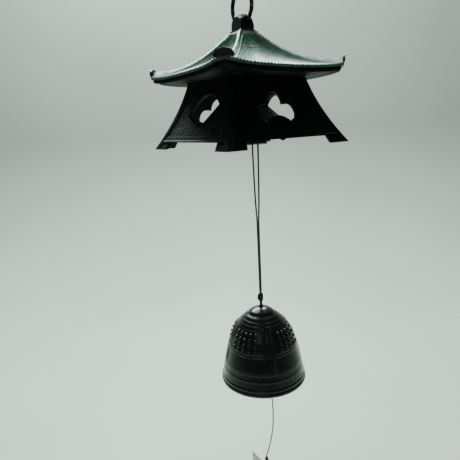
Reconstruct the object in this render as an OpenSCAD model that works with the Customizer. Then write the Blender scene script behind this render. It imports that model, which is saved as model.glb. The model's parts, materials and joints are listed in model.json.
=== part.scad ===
// Lantern wind chime: a cast roof and a windowed cast body bolted together under a wire ring,
// with a temple bell on a doubled cord, a clapper, a tail cord and a paper strip below it.
// The origin is the point inside the top of the wire ring that rests on a hook. +Z is up.

/* [Ring] */
// Wire thickness of the hanging ring
ring_wire = 2.5; // [2:0.1:3.2]
// Radius of the ring, at the middle of its wire
ring_r = 10; // [9:0.5:14]

/* [Knob] */
// Width of the knob's square base
knob_w = 9.8; // [8:0.2:12]
// Metal left above the ring hole
knob_over = 3.2; // [2:0.2:5]
// Metal left below the ring hole
knob_under = 2; // [1.5:0.1:4]
// Thickness of the knob's long shank
shank_d = 3; // [2.5:0.1:4]

/* [Roof] */
// Width of the flat square on top of the roof
roof_top_w = 11.7; // [10:0.1:16]
// Width of the roof over its eaves
eave_w = 91.4; // [70:0.2:115]
// Height from the middle of an eave to the flat top
roof_rise = 25.2; // [18:0.2:34]
// How much higher the corners of the eaves stand
corner_lift = 4; // [1:0.5:8]
// Width of the blunt cap at each corner
cap_w = 10.2; // [8:0.2:14]
// Height of a hip ridge at the top of the roof
ridge_top_h = 0.9; // [0.5:0.1:2]
// Height of a hip ridge at the corner cap
ridge_cap_h = 3.3; // [2:0.1:5]
// Thickness of the roof shell at the top
roof_t = 2; // [1.6:0.1:3]
// Thickness of the roof shell at the eaves
roof_edge_t = 1.2; // [1:0.1:2]

/* [Eave frame] */
// Distance of the eave frame's edge inside the roof's edge
eave_set = 1.2; // [0.6:0.1:3]
// Height of the rafter band on the eave frame's edge
band_h = 2.3; // [1.5:0.1:4]
// Thickness of the eave frame's plate
plate_t = 2; // [1.6:0.1:3]

/* [Body] */
// Width of the body under the eaves
body_top_w = 51; // [40:0.5:60]
// Width of the body across its feet
foot_w = 87.6; // [65:0.2:105]
// Height of the body from its feet to its top
body_h = 39.4; // [30:0.2:55]
// Share of the spread that comes evenly, the rest flares out towards the feet
even_share = 0.6; // [0.4:0.05:1]
// Wall thickness of the body, measured level
body_wall = 2.4; // [2:0.1:3.5]
// Height of the feet below the bottom rail
foot_h = 4.6; // [3:0.1:8]
// Length of a foot along each side
foot_l = 12.5; // [9:0.5:18]
// Width of the cross rib that the shank passes through
rib_w = 6; // [5:0.5:9]
// Height of the cross rib
rib_h = 3; // [2:0.2:5]

/* [Windows] */
// Radius of the cloud window's top lobe
cloud_top_r = 6.2; // [5:0.1:7]
// Radius of the cloud window's side lobes
cloud_side_r = 5.2; // [4:0.1:6]
// Outer radius of the fan window
fan_r = 19.6; // [16:0.2:21]
// Inner radius of the fan window
fan_inner_r = 3.5; // [2:0.1:8]

/* [Cross bar] */
// Length of the cross bar
bar_l = 18; // [14:0.5:24]
// Width of the cross bar
bar_w = 4; // [3.6:0.1:6]
// Height of the cross bar
bar_h = 4.1; // [3:0.1:4.3]
// Distance from the shank to the cord on the cross bar
cord_dx = 6; // [5.5:0.5:9]

/* [Bell] */
// Radius of the bell's mouth
bell_r = 30.2; // [27:0.2:34]
// Height of the bell
bell_h = 53.3; // [48:0.1:60]
// Wall thickness of the bell
bell_wall = 2.4; // [1.8:0.1:3.2]

/* [Clapper] */
// Diameter of the clapper disc
clapper_d = 22; // [16:0.5:26]
// Thickness of the clapper disc
clapper_t = 4; // [3:0.2:7]

/* [Cords] */
// Thickness of the doubled cord that carries the bell
cord_d = 1.3; // [1:0.05:1.4]
// Thickness of the clapper cord
clapper_cord_d = 1.2; // [0.8:0.05:1.4]
// Thickness of the tail cord
tail_d = 1; // [0.6:0.05:1.3]

/* [Paper strip] */
// Width of the paper strip
strip_w = 38; // [30:1:55]
// Length of the paper strip
strip_l = 84; // [60:1:90]
// Thickness of the paper strip
strip_t = 0.5; // [0.4:0.1:1]

/* [Hidden] */

gap = 0.3;          // running gap between pieces that move past each other
bolt_gap = 0.3;     // radial gap between the shank and a plain hole
thread_gap = 0.03;  // radial gap between the shank and a threaded hole
joint_gap = 0.02;   // gap that keeps two castings' faces apart

// Ring and knob
ring_z = -(ring_r - ring_wire / 2);
wire_z = ring_z - ring_r;
sagitta = ring_r - sqrt(ring_r * ring_r - knob_w * knob_w / 4);
eye_r = ring_wire / 2 + sagitta / 2 + 0.4;
eye_z = wire_z + sagitta / 2;
knob_top = eye_z + eye_r + knob_over;
roof_z = eye_z - eye_r - knob_under;
shank_r = shank_d / 2;
hole_r = shank_r + bolt_gap;

// Roof
half = eave_w / 2;
top_half = roof_top_w / 2;
collar_h = 1;
eave_z = roof_z - roof_rise;
slope_h = roof_rise - collar_h;
straight_share = 0.2;
curve_power = 2.3;
ridge_top_w = 1.8;
cap_reach = 2 * half - cap_w / sqrt(2);
roof_rows = [0, 0.08, 0.17, 0.28, 0.42, 0.58, 0.74, 0.88, 1];

// Height of the roof's surface, without its ridges, at the level line s and the share t along it
function fall(u) = straight_share * (1 - u) + (1 - straight_share) * pow(1 - u, curve_power);
function steep(u) = slope_h / (half - top_half)
    * (straight_share + (1 - straight_share) * curve_power * pow(1 - u, curve_power - 1));
function row(s) = min(max((s - top_half) / (half - top_half), 0), 1);
function lift(s, t) = corner_lift * pow(s / half, 3) * (0.35 * t * t + 0.65 * pow(t, 6));
function slope_z(s, t) = eave_z + slope_h * fall(row(s)) + lift(s, t);
function shell_t(s) = (roof_t + (roof_edge_t - roof_t) * row(s)) * sqrt(1 + pow(steep(row(s)), 2));
function under_z(s, t) = slope_z(s, t) - shell_t(s);

// Width and height of a hip ridge at level line s
function ridge_w(s) = ridge_top_w + (cap_w / 2 - ridge_top_w) * row(s);
function ridge_h(s) = ridge_top_h + (ridge_cap_h - ridge_top_h) * row(s);

// Places along half a side, from the corner to the middle, and round all four sides
function half_side(s, w) = let (o = s - w * sqrt(2))
    [s, s - w * 0.5 * sqrt(2), o, 0.75 * o, 0.5 * o, 0.25 * o, 0];
function side(s, w) = let (h = half_side(s, w))
    concat(h, [for (i = [len(h) - 2:-1:1]) -h[i]]);
function turned(p, q) = q == 0 ? p : turned([p[1], -p[0]], q - 1);
function around(s, w) = [for (q = [0:3]) for (o = side(s, w)) turned([o, -s], q)];
function capped(p, reach) = let (m = abs(p[0]) + abs(p[1])) m > reach ? p * reach / m : p;
function share(p) = min(abs(p[0]), abs(p[1])) / max(abs(p[0]), abs(p[1]));
function from_hip(p) = abs(abs(p[0]) - abs(p[1])) / sqrt(2);
function bump(d, w) = d < w ? 1 - pow(d / w, 2) : 0;

// Underside of the roof's flat top, where the washer and nut hold it
roof_under = under_z(top_half, 0);
washer_t = 0.8;
nut_t = 2.4;

// Faces between neighbouring rings of n points each, and between the last and the first if closed
function ring_faces(n, rings, closed) = [for (r = [0:rings - (closed ? 1 : 2)]) for (i = [0:n - 1])
    let (a = r * n + i, b = r * n + (i + 1) % n, c = ((r + 1) % rings) * n + i,
        d = ((r + 1) % rings) * n + (i + 1) % n)
    each [[a, c, b], [b, c, d]]];

// Eave frame
frame_half = half - eave_set;
frame_reach = cap_reach - 3.2;
body_z = eave_z - roof_edge_t - band_h - 0.25;
seat_half = body_top_w / 2 + 1;
open_half = body_top_w / 2 - body_wall - 2;
seam = 0.12;        // gap between the roof and the eave frame
function smooth(u) = u * u * (3 - 2 * u);
function seat_share(s) = min(max((frame_half - s) / (frame_half - seat_half), 0), 1);
function band_z(t) = under_z(half, t) - seam - band_h;
function soffit_z(s, t) = let (k = smooth(seat_share(s))) band_z(t) * (1 - k) + body_z * k;
function plate_z(s, t) = let (thick = plate_t + band_h * (1 - seat_share(s)))
    min(under_z(s, t) - seam, soffit_z(s, t) + thick);

// Body
body_half = body_top_w / 2;
foot_half = foot_w / 2;
foot_z = body_z - body_h;
rail_z = foot_z + foot_h;
function body_at(u) = body_half + (foot_half - body_half) * (even_share * u + (1 - even_share) * u * u);
body_steps = 8;
window_z = body_z - 0.482 * body_h;
cloud_dx = -2;      // place of the front and back windows along their walls
fan_dy = -3;        // place of the left window along its wall
fan_right_dy = 2;   // and of the right one, which is turned the other way
fan_dz = -8.3;

// Cross bar and cord
bar_z = rail_z - 0.3;
bar_x0 = -3;
upper_knot_z = -195.3;
knot_r = 2.3;
neck_r = 1.2;
neck_top = upper_knot_z - knot_r * 1.3 - 0.5;

// Bell and clapper: the bell's outline is the share of its height below the crown and the radius
// there, as a share of the radius at the mouth
bell_z = -203.2;
bell_base = bell_z - bell_h;
bell_curve = [[0, 0.1], [0.012, 0.17], [0.056, 0.27], [0.13, 0.435], [0.225, 0.6], [0.337, 0.715],
    [0.487, 0.8], [0.675, 0.888], [0.862, 0.954], [0.956, 0.987], [1, 1]];
crown_t = bell_wall + 0.6;
inner_knot_z = bell_z - crown_t - gap - 2.4;
clapper_z = bell_base + 10;

// Tail cord, loop and strip
tail_end_z = -328;
loop_top = tail_end_z - 3.6;
loop_r = 0.35;
strip_z = -335;
eyelet_z = strip_z - 5;
eyelet_r = 2.1;
eyelet_hole = 1.6;

// Route of the doubled cord: up from the knot behind the bar, over it and down again in front
cord_route = [
    [6, 0.6, -193.6], [6, 0.7, -188], [6, 0.7, -180], [6, 0.7, -172], [6, 0.7, -164], [6, 0.7, -156],
    [6, 0.8, -148], [6, 0.9, -142], [6, 1.3, -136], [6, 1.8, -130], [6, 2.2, -122], [6, 2.5, -114],
    [6, 2.7, -106], [6, 2.9, -98], [6, 3, -92], [6, 3, -88], [6, 2.5, -86], [6, 1.4, -85.5],
    [6, 0, -85.4], [6, -1.4, -85.5], [6, -2.5, -86], [6, -3, -88], [6, -3, -92], [6, -2.9, -98],
    [6, -2.7, -106], [6, -2.5, -114], [6, -2.2, -122], [6, -1.8, -130], [6, -1.3, -136], [6, -0.9, -142],
    [6, -0.8, -148], [6, -0.7, -156], [6, -0.7, -164], [6, -0.7, -172], [6, -0.7, -180], [6, -0.7, -188],
    [6, -0.6, -193.6]];

// Route of the tail cord, from the clapper's knot to the knot over the strip
tail_route = [
    [6, 0, -252.2], [6.1, 0, -255], [6.8, -0.4, -259], [8, -1.2, -263], [9.4, -2, -268], [10.4, -2.7, -274],
    [11, -3, -281], [11.2, -3.2, -289], [11, -3.1, -297], [10.4, -2.7, -305], [9.4, -2.1, -312],
    [8.2, -1.4, -318], [7, -0.6, -323], [6.2, -0.1, -326], [6, 0, -328]];

function unit(v) = v / norm(v);
// A tube along a route: rings of n points, each turned square to the route, then both ends closed
module tube(route, r, n = 8, side_dir = [1, 0, 0]) {
    count = len(route);
    along = [for (i = [0:count - 1])
        unit(route[min(i + 1, count - 1)] - route[max(i - 1, 0)])];
    points = [for (i = [0:count - 1])
        let (b = unit(cross(along[i], side_dir)), a = cross(b, along[i]))
        for (k = [0:n - 1]) route[i] + r * (cos(360 * k / n) * a + sin(360 * k / n) * b)];
    walls = [for (i = [0:count - 2]) for (k = [0:n - 1])
        let (p = i * n + k, q = i * n + (k + 1) % n) each [[p, q + n, q], [p, p + n, q + n]]];
    ends = [[for (k = [0:n - 1]) k], [for (k = [n - 1:-1:0]) (count - 1) * n + k]];
    polyhedron(points, concat(walls, ends), convexity = 8);
}

// A round piece turned about an upright axis through the point p
module turned_at(p) {
    translate(p) rotate_extrude($fn = 64) children();
}

// A knot: a short barrel with rounded shoulders
module knot(p, r, h) {
    turned_at(p) polygon([[0, -h / 2], [r * 0.55, -h / 2], [r, -h * 0.25], [r, h * 0.25],
        [r * 0.55, h / 2], [0, h / 2]]);
}

module hanging_ring() {
    color("#2b2d2c") translate([0, 0, ring_z]) rotate([0, 90, 0])
        rotate_extrude($fn = 64) translate([ring_r, 0]) circle(d = ring_wire, $fn = 32);
}

// The knob is a square block with a rounded head, and its shank runs down through the whole lantern
module roof_knob() {
    knob_h = knob_top - roof_z;
    color("#1d3a30") difference() {
        union() {
            intersection() {
                translate([-knob_w / 2, -knob_w / 2, roof_z]) cube([knob_w, knob_w, knob_h]);
                turned_at([0, 0, roof_z]) polygon([[0, 0], [knob_w * 0.72, 0], [knob_w * 0.7, knob_h * 0.35],
                    [knob_w * 0.62, knob_h * 0.62], [knob_w * 0.48, knob_h * 0.82],
                    [knob_w * 0.36, knob_h * 0.95], [knob_w * 0.28, knob_h], [0, knob_h]]);
            }
            translate([0, 0, bar_z - bar_h])
                cylinder(r = shank_r, h = roof_z - bar_z + bar_h + 0.5, $fn = 48);
        }
        translate([0, 0, eye_z]) rotate([90, 0, 0])
            cylinder(r = eye_r, h = knob_w + 2, center = true, $fn = 48);
    }
}

module roof_washer() {
    color("#3a3d3c") translate([0, 0, roof_under - joint_gap - washer_t]) difference() {
        cylinder(r = shank_r + 2.4, h = washer_t, $fn = 48);
        translate([0, 0, -1]) cylinder(r = hole_r, h = washer_t + 2, $fn = 48);
    }
}

module roof_nut() {
    color("#3a3d3c") translate([0, 0, roof_under - 2 * joint_gap - washer_t - nut_t]) difference() {
        cylinder(r = shank_r + 1.7, h = nut_t, $fn = 6);
        translate([0, 0, -1]) cylinder(r = shank_r + thread_gap, h = nut_t + 2, $fn = 48);
    }
}

// The roof shell: level rows from the shank hole over the flat top down to the eaves and back
// underneath, with a ridge on each hip
module roof() {
    n = 48;
    hole = [for (i = [0:n - 1]) hole_r * [cos(-45 - 360 * i / n), sin(-45 - 360 * i / n)]];
    levels = [for (u = roof_rows) top_half + u * (half - top_half)];
    last = len(levels) - 1;
    flat = concat([for (p = hole) [p[0], p[1], roof_z]],
        [for (p = around(top_half, ridge_top_w)) [p[0], p[1], roof_z]]);
    over = [for (s = levels) for (p = around(s, ridge_w(s))) let (c = capped(p, cap_reach))
        [c[0], c[1], slope_z(s, share(p)) + ridge_h(s) * bump(from_hip(p), ridge_w(s))]];
    under = [for (k = [last:-1:0]) let (s = levels[k]) for (p = around(s, ridge_w(s)))
        let (c = capped(p, cap_reach)) [c[0], c[1], k == 0 ? roof_under : under_z(s, share(p))]];
    hole_low = [for (p = hole) [p[0], p[1], roof_under]];
    points = concat(flat, over, under, hole_low);
    color("#2c5547") polyhedron(points, ring_faces(n, len(points) / n, true), convexity = 10);
}

// The eave frame: a plate under the roof whose edge carries the rafter band and whose underside
// falls in a smooth curve from the eaves to the flat seat on the body
module eave_frame() {
    n = 48;
    roof_levels = [for (u = roof_rows) top_half + u * (half - top_half)];
    levels = concat([open_half, seat_half],
        [for (s = roof_levels) if (s > seat_half + 1 && s < frame_half - 1) s], [frame_half]);
    last = len(levels) - 1;
    top = [for (s = levels) for (p = around(s, ridge_w(s))) let (c = capped(p, frame_reach))
        [c[0], c[1], plate_z(s, share(p))]];
    low = [for (k = [last:-1:0]) let (s = levels[k]) for (p = around(s, ridge_w(s)))
        let (c = capped(p, frame_reach)) [c[0], c[1], soffit_z(s, share(p))]];
    color("#24463b") polyhedron(concat(top, low), ring_faces(n, 2 * len(levels), true), convexity = 10);
}

// Outline of the body in section, drawn in by a wall thickness or not
module body_section(inset, extra) {
    left = [for (i = [0:body_steps]) let (u = i / body_steps) [-(body_at(u) - inset), body_z - u * body_h]];
    right = [for (i = [body_steps:-1:0]) [-left[i][0], left[i][1]]];
    lip = [[left[body_steps][0], foot_z - extra], [-left[body_steps][0], foot_z - extra]];
    head = [[-left[0][0], body_z + extra], [left[0][0], body_z + extra]];
    polygon(concat(left, extra > 0 ? lip : [], right, extra > 0 ? head : []));
}

module body_block(inset, extra) {
    long = foot_w + 10;
    intersection() {
        rotate([90, 0, 0]) linear_extrude(long, center = true) body_section(inset, extra);
        rotate([90, 0, 90]) linear_extrude(long, center = true) body_section(inset, extra);
    }
}

// Cloud window: three lobes over an arch
module cloud() {
    translate([cloud_dx, window_z]) difference() {
        union() {
            translate([0, 4.6]) circle(r = cloud_top_r, $fn = 48);
            for (s = [-1, 1]) translate([s * 9, -1.4]) circle(r = cloud_side_r, $fn = 48);
            polygon([[-9, 3], [9, 3], [10.5, -7.6], [-10.5, -7.6]]);
        }
        translate([0, -13.4]) circle(r = 9.9, $fn = 48);
    }
}

// Fan window: a sector of a ring
module fan() {
    from = 20;
    to = 140;
    steps = 12;
    angle = (to - from) / steps;
    arc = [for (i = [0:steps]) [cos(from + i * angle), sin(from + i * angle)]];
    polygon(concat(fan_r * arc, [for (i = [steps:-1:0]) fan_inner_r * arc[i]]));
}

// Opening between two feet, with slanted ends
module foot_gap() {
    w = foot_half - foot_l;
    polygon([[-w + 1.6, rail_z], [w - 1.6, rail_z], [w, foot_z - 1], [-w, foot_z - 1]]);
}

module lantern_body() {
    long = foot_w + 10;
    color("#1c332b") difference() {
        union() {
            difference() {
                body_block(0, 0);
                body_block(body_wall, 1);
                rotate([90, 0, 0]) linear_extrude(long, center = true) cloud();
                translate([-long / 2, 0, 0]) rotate([90, 0, 90]) linear_extrude(long / 2)
                    translate([fan_dy, window_z + fan_dz]) fan();
                rotate([90, 0, 90]) linear_extrude(long / 2)
                    translate([fan_right_dy, window_z + fan_dz]) mirror([1, 0]) fan();
                rotate([90, 0, 0]) linear_extrude(long, center = true) foot_gap();
                rotate([90, 0, 90]) linear_extrude(long, center = true) foot_gap();
            }
            rib_half = body_at((body_h - foot_h) / body_h) - body_wall / 2;
            translate([-rib_w / 2, -rib_half, rail_z]) cube([rib_w, 2 * rib_half, rib_h]);
        }
        translate([0, 0, rail_z - 1]) cylinder(r = hole_r, h = rib_h + 2, $fn = 48);
    }
}

// The cross bar screws onto the end of the shank like a long nut, and the cord hangs over it
module cross_bar() {
    r = 1;
    c = 0.8;
    w = bar_w / 2;
    color("#2b2d2c") difference() {
        translate([bar_x0, 0, bar_z - bar_h]) intersection() {
            translate([r, 0, 0]) linear_extrude(bar_h) offset(r, $fn = 32)
                translate([0, r - w]) square([bar_l - 2 * r, bar_w - 2 * r]);
            rotate([90, 0, 90]) linear_extrude(bar_l) polygon([[c - w, 0], [w - c, 0], [w, c],
                [w, bar_h - c], [w - c, bar_h], [c - w, bar_h], [-w, bar_h - c], [-w, c]]);
        }
        translate([0, 0, bar_z - bar_h - 1]) cylinder(r = shank_r + thread_gap, h = bar_h + 2, $fn = 48);
    }
}

module hanging_cord() {
    color("#17181a") tube(cord_route, cord_d / 2);
}

module upper_knot() {
    color("#17181a") knot([cord_dx, 0, upper_knot_z - knot_r * 0.3], knot_r, knot_r * 2);
}

module bell_neck_cord() {
    color("#17181a") translate([cord_dx, 0, inner_knot_z + 2.2])
        cylinder(r = neck_r, h = neck_top - inner_knot_z - 2.2, $fn = 24);
}

module inner_knot() {
    color("#17181a") knot([cord_dx, 0, inner_knot_z], 2.6, 4.4);
}

module bell() {
    outer = [for (c = bell_curve) [bell_r * c[1], bell_z - bell_h * c[0]]];
    inner = [for (p = outer) [max(p[0] - bell_wall, 0), p[1]]];
    bore_r = neck_r + 0.5;
    cavity_z = bell_z - crown_t;
    color("#0f1512") translate([cord_dx, 0, 0]) rotate_extrude($fn = 96) difference() {
        polygon(concat([[bore_r, bell_z]], outer, [[bore_r, bell_base]]));
        intersection() {
            polygon(concat([[0, bell_z]], inner, [[bell_r - bell_wall, bell_base - 1], [0, bell_base - 1]]));
            translate([0, bell_base - 1]) square([bell_r, cavity_z - bell_base + 1]);
        }
    }
}

module clapper_cord() {
    top = inner_knot_z - 2.2 - 0.4;
    low = clapper_z + clapper_t / 2 + 1.1;
    steps = 9;
    route = [for (i = [0:steps]) [cord_dx, 0, top + (low - top) * i / steps]];
    color("#17181a") tube(route, clapper_cord_d / 2);
}

module clapper() {
    r = clapper_d / 2;
    t = clapper_t / 2;
    color("#1f2421") turned_at([cord_dx, 0, clapper_z])
        polygon([[1, -t], [r - 1, -t], [r, -t + 1], [r, t - 1], [r - 1, t], [1, t]]);
}

module clapper_knot() {
    color("#17181a") translate([cord_dx, 0, clapper_z]) union() {
        translate([0, 0, -clapper_t / 2 - 2.6]) cylinder(r = 1.8, h = 2.6 - joint_gap, $fn = 24);
        translate([0, 0, -clapper_t / 2 - 0.5]) cylinder(r = 0.9, h = clapper_t + 1, $fn = 24);
    }
}

module tail_cord() {
    color("#2a2c2c") tube(tail_route, tail_d / 2);
}

module tail_knot() {
    color("#2a2c2c") knot([cord_dx, 0, tail_end_z - 1.6], 1.5, 3.2);
}

// Loop of thread from under the tail knot through the eyelet and back
module strip_loop() {
    h = (loop_top - eyelet_z) / 2;
    color("#2a2c2c") translate([cord_dx, 0, eyelet_z + h]) rotate([90, 0, 0])
        rotate_extrude($fn = 48) translate([h, 0]) circle(r = loop_r, $fn = 16);
}

module strip_eyelet() {
    color("#b08d3f") translate([cord_dx, 0, eyelet_z]) rotate([0, 90, 0]) difference() {
        union() {
            for (s = [-1, 1]) translate([0, 0, s * (strip_t / 2 + 0.27)])
                cylinder(r = 3, h = 0.5, center = true, $fn = 32);
            cylinder(r = eyelet_r, h = strip_t + 0.6, center = true, $fn = 32);
        }
        cylinder(r = eyelet_hole, h = 6, center = true, $fn = 32);
    }
}

module paper_strip() {
    color("#f2efe6") translate([cord_dx, 0, strip_z]) difference() {
        translate([-strip_t / 2, -strip_w / 2, -strip_l]) cube([strip_t, strip_w, strip_l]);
        translate([0, 0, eyelet_z - strip_z]) rotate([0, 90, 0])
            cylinder(r = eyelet_r + joint_gap, h = 5, center = true, $fn = 32);
    }
}

hanging_ring();
roof_knob();
roof_washer();
roof_nut();
roof();
eave_frame();
lantern_body();
cross_bar();
hanging_cord();
upper_knot();
bell_neck_cord();
inner_knot();
bell();
clapper_cord();
clapper();
clapper_knot();
tail_cord();
tail_knot();
strip_loop();
strip_eyelet();
paper_strip();
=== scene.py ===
# %% [markdown]
# # Lantern wind chime
# A cast iron lantern hangs from a wire ring. A doubled cord over a cross bar under the lantern
# carries a lacquered temple bell, with a clapper, a tail cord and a paper strip below it.
# Every piece is made in metres, in the place that the frame gives it, and the sizes below are in
# millimetres because that is how a pattern maker would write them.

# %% Frame and sizes
import bpy
import bmesh
import json
import math
from mathutils import Matrix, Quaternion, Vector
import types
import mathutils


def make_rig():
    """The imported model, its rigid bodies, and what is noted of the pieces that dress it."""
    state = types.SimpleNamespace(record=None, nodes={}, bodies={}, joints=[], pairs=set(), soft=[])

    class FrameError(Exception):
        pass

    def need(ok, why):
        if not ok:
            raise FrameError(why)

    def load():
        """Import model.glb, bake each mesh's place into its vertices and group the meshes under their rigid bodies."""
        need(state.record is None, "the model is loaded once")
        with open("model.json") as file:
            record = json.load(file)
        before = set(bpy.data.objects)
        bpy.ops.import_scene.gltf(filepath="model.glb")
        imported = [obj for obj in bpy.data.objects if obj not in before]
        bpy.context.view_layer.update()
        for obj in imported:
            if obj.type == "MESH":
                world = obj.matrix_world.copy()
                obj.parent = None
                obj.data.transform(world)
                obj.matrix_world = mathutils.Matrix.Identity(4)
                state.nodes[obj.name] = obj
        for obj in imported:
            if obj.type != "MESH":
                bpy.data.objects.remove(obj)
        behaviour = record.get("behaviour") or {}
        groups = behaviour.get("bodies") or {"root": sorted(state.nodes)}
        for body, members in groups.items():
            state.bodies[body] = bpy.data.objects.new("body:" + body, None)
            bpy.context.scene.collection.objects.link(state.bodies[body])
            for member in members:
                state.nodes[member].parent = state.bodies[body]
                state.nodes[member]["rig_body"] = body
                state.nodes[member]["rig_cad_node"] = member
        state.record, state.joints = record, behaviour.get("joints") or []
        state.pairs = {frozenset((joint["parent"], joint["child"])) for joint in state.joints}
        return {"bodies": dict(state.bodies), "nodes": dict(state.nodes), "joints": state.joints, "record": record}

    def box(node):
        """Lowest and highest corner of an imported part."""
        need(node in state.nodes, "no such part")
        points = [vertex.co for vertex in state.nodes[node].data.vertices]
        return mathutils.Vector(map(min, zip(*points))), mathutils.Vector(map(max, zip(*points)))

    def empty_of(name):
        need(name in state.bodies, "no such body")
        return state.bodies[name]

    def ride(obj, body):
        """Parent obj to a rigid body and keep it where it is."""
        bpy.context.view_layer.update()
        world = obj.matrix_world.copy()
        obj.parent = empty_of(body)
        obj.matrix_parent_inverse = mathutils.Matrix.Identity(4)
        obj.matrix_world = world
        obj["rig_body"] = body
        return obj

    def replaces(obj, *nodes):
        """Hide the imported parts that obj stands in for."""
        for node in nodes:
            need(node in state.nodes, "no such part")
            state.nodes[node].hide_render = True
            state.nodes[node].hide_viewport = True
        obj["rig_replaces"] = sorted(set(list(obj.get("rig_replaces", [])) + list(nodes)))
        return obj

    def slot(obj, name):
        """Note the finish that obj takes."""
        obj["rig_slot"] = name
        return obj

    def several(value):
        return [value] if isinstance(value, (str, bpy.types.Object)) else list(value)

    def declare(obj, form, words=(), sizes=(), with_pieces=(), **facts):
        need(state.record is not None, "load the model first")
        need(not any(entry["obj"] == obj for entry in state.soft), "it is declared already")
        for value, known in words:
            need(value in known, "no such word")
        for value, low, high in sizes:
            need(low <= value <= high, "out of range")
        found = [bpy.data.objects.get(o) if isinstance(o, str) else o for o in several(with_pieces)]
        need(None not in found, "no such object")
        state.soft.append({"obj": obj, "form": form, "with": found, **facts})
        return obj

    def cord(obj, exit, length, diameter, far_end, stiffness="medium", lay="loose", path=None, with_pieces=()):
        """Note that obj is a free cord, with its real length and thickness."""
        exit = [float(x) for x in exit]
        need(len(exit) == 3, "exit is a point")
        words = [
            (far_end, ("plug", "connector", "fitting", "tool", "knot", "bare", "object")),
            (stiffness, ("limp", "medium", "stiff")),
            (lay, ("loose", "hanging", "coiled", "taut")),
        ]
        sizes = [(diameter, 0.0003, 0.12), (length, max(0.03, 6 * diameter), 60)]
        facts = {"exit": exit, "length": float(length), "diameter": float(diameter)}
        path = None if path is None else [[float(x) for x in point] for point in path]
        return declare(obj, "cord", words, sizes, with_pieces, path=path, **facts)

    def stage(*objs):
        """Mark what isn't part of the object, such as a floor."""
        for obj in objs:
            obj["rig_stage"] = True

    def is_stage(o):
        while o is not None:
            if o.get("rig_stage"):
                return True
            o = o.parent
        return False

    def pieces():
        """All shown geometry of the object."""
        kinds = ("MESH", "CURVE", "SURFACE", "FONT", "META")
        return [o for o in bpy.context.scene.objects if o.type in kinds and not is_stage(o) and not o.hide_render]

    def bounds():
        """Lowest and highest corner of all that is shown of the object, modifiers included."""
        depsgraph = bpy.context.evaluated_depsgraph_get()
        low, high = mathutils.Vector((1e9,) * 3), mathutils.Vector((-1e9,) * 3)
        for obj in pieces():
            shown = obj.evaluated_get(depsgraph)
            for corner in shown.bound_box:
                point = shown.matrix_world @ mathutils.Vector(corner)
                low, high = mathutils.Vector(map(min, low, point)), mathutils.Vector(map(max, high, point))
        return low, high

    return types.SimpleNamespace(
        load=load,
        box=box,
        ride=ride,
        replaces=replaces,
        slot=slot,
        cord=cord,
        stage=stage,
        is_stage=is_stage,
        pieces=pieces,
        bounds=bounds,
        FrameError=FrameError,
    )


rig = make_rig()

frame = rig.load()
cad_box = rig.bounds()
mm = 0.001
print("frame box", [tuple(round(c / mm, 1) for c in corner) for corner in cad_box])

# %% [markdown]
# ## Camera
# The chime is seen from a little above its eaves, about a third of the way round from its front
# to its left side. The lens is a wide one held close, which is why the eaves spread towards the
# eye. The camera is turned a few degrees about its own line of sight, as a held camera is.

# %% Camera
azimuth, elevation, roll = math.radians(32.65), math.radians(13.37), math.radians(-3.02)
ahead = Vector((math.sin(azimuth) * math.cos(elevation), math.cos(azimuth) * math.cos(elevation),
                -math.sin(elevation)))
camera = bpy.data.objects.new("camera", bpy.data.cameras.new("camera"))
bpy.context.collection.objects.link(camera)
camera.data.sensor_width = 36
camera.data.lens = 34.43
camera.data.clip_start = 0.01
camera.location = Vector((-166.8, -234.2, -77.5)) * mm
camera.rotation_mode = "QUATERNION"
camera.rotation_quaternion = ahead.to_track_quat("-Z", "Y") @ Quaternion((0, 0, 1), roll)
bpy.context.scene.camera = camera
print("camera looks along", [round(c, 3) for c in ahead])

# %% [markdown]
# ## Nodes and colours
# A material is a small network of nodes. One function adds a node, sets what is given as a
# number or colour, and links what is given as another node's output. Colours are written as
# the hex values that a paint chart would give, and one function turns them to linear light.

# %% Nodes and colours
def colour(code):
    parts = [int(code[i:i + 2], 16) / 255 for i in (1, 3, 5)]
    return [c / 12.92 if c <= 0.04045 else ((c + 0.055) / 1.055) ** 2.4 for c in parts] + [1]


def add(tree, kind, sockets, **settings):
    made = tree.nodes.new("ShaderNode" + kind)
    for name, value in settings.items():
        setattr(made, name, value)
    for name, value in sockets.items():
        if isinstance(value, bpy.types.NodeSocket):
            tree.links.new(value, made.inputs[name])
        else:
            made.inputs[name].default_value = value
    return made


def new_material(name, sockets):
    """A material with its main shader, whose plain sockets are set, and its node tree."""
    material = bpy.data.materials.new(name)
    material.use_nodes = True
    tree = material.node_tree
    shader = tree.nodes["Principled BSDF"]
    for socket, value in sockets.items():
        shader.inputs[socket].default_value = value
    return material, tree, shader


def per_metre(size_mm):
    """Scale of a noise whose blotches are about this many millimetres across."""
    return 1 / (size_mm * mm)


print("mint as linear light", [round(c, 3) for c in colour("#b9d3c6")[:3]])
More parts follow.
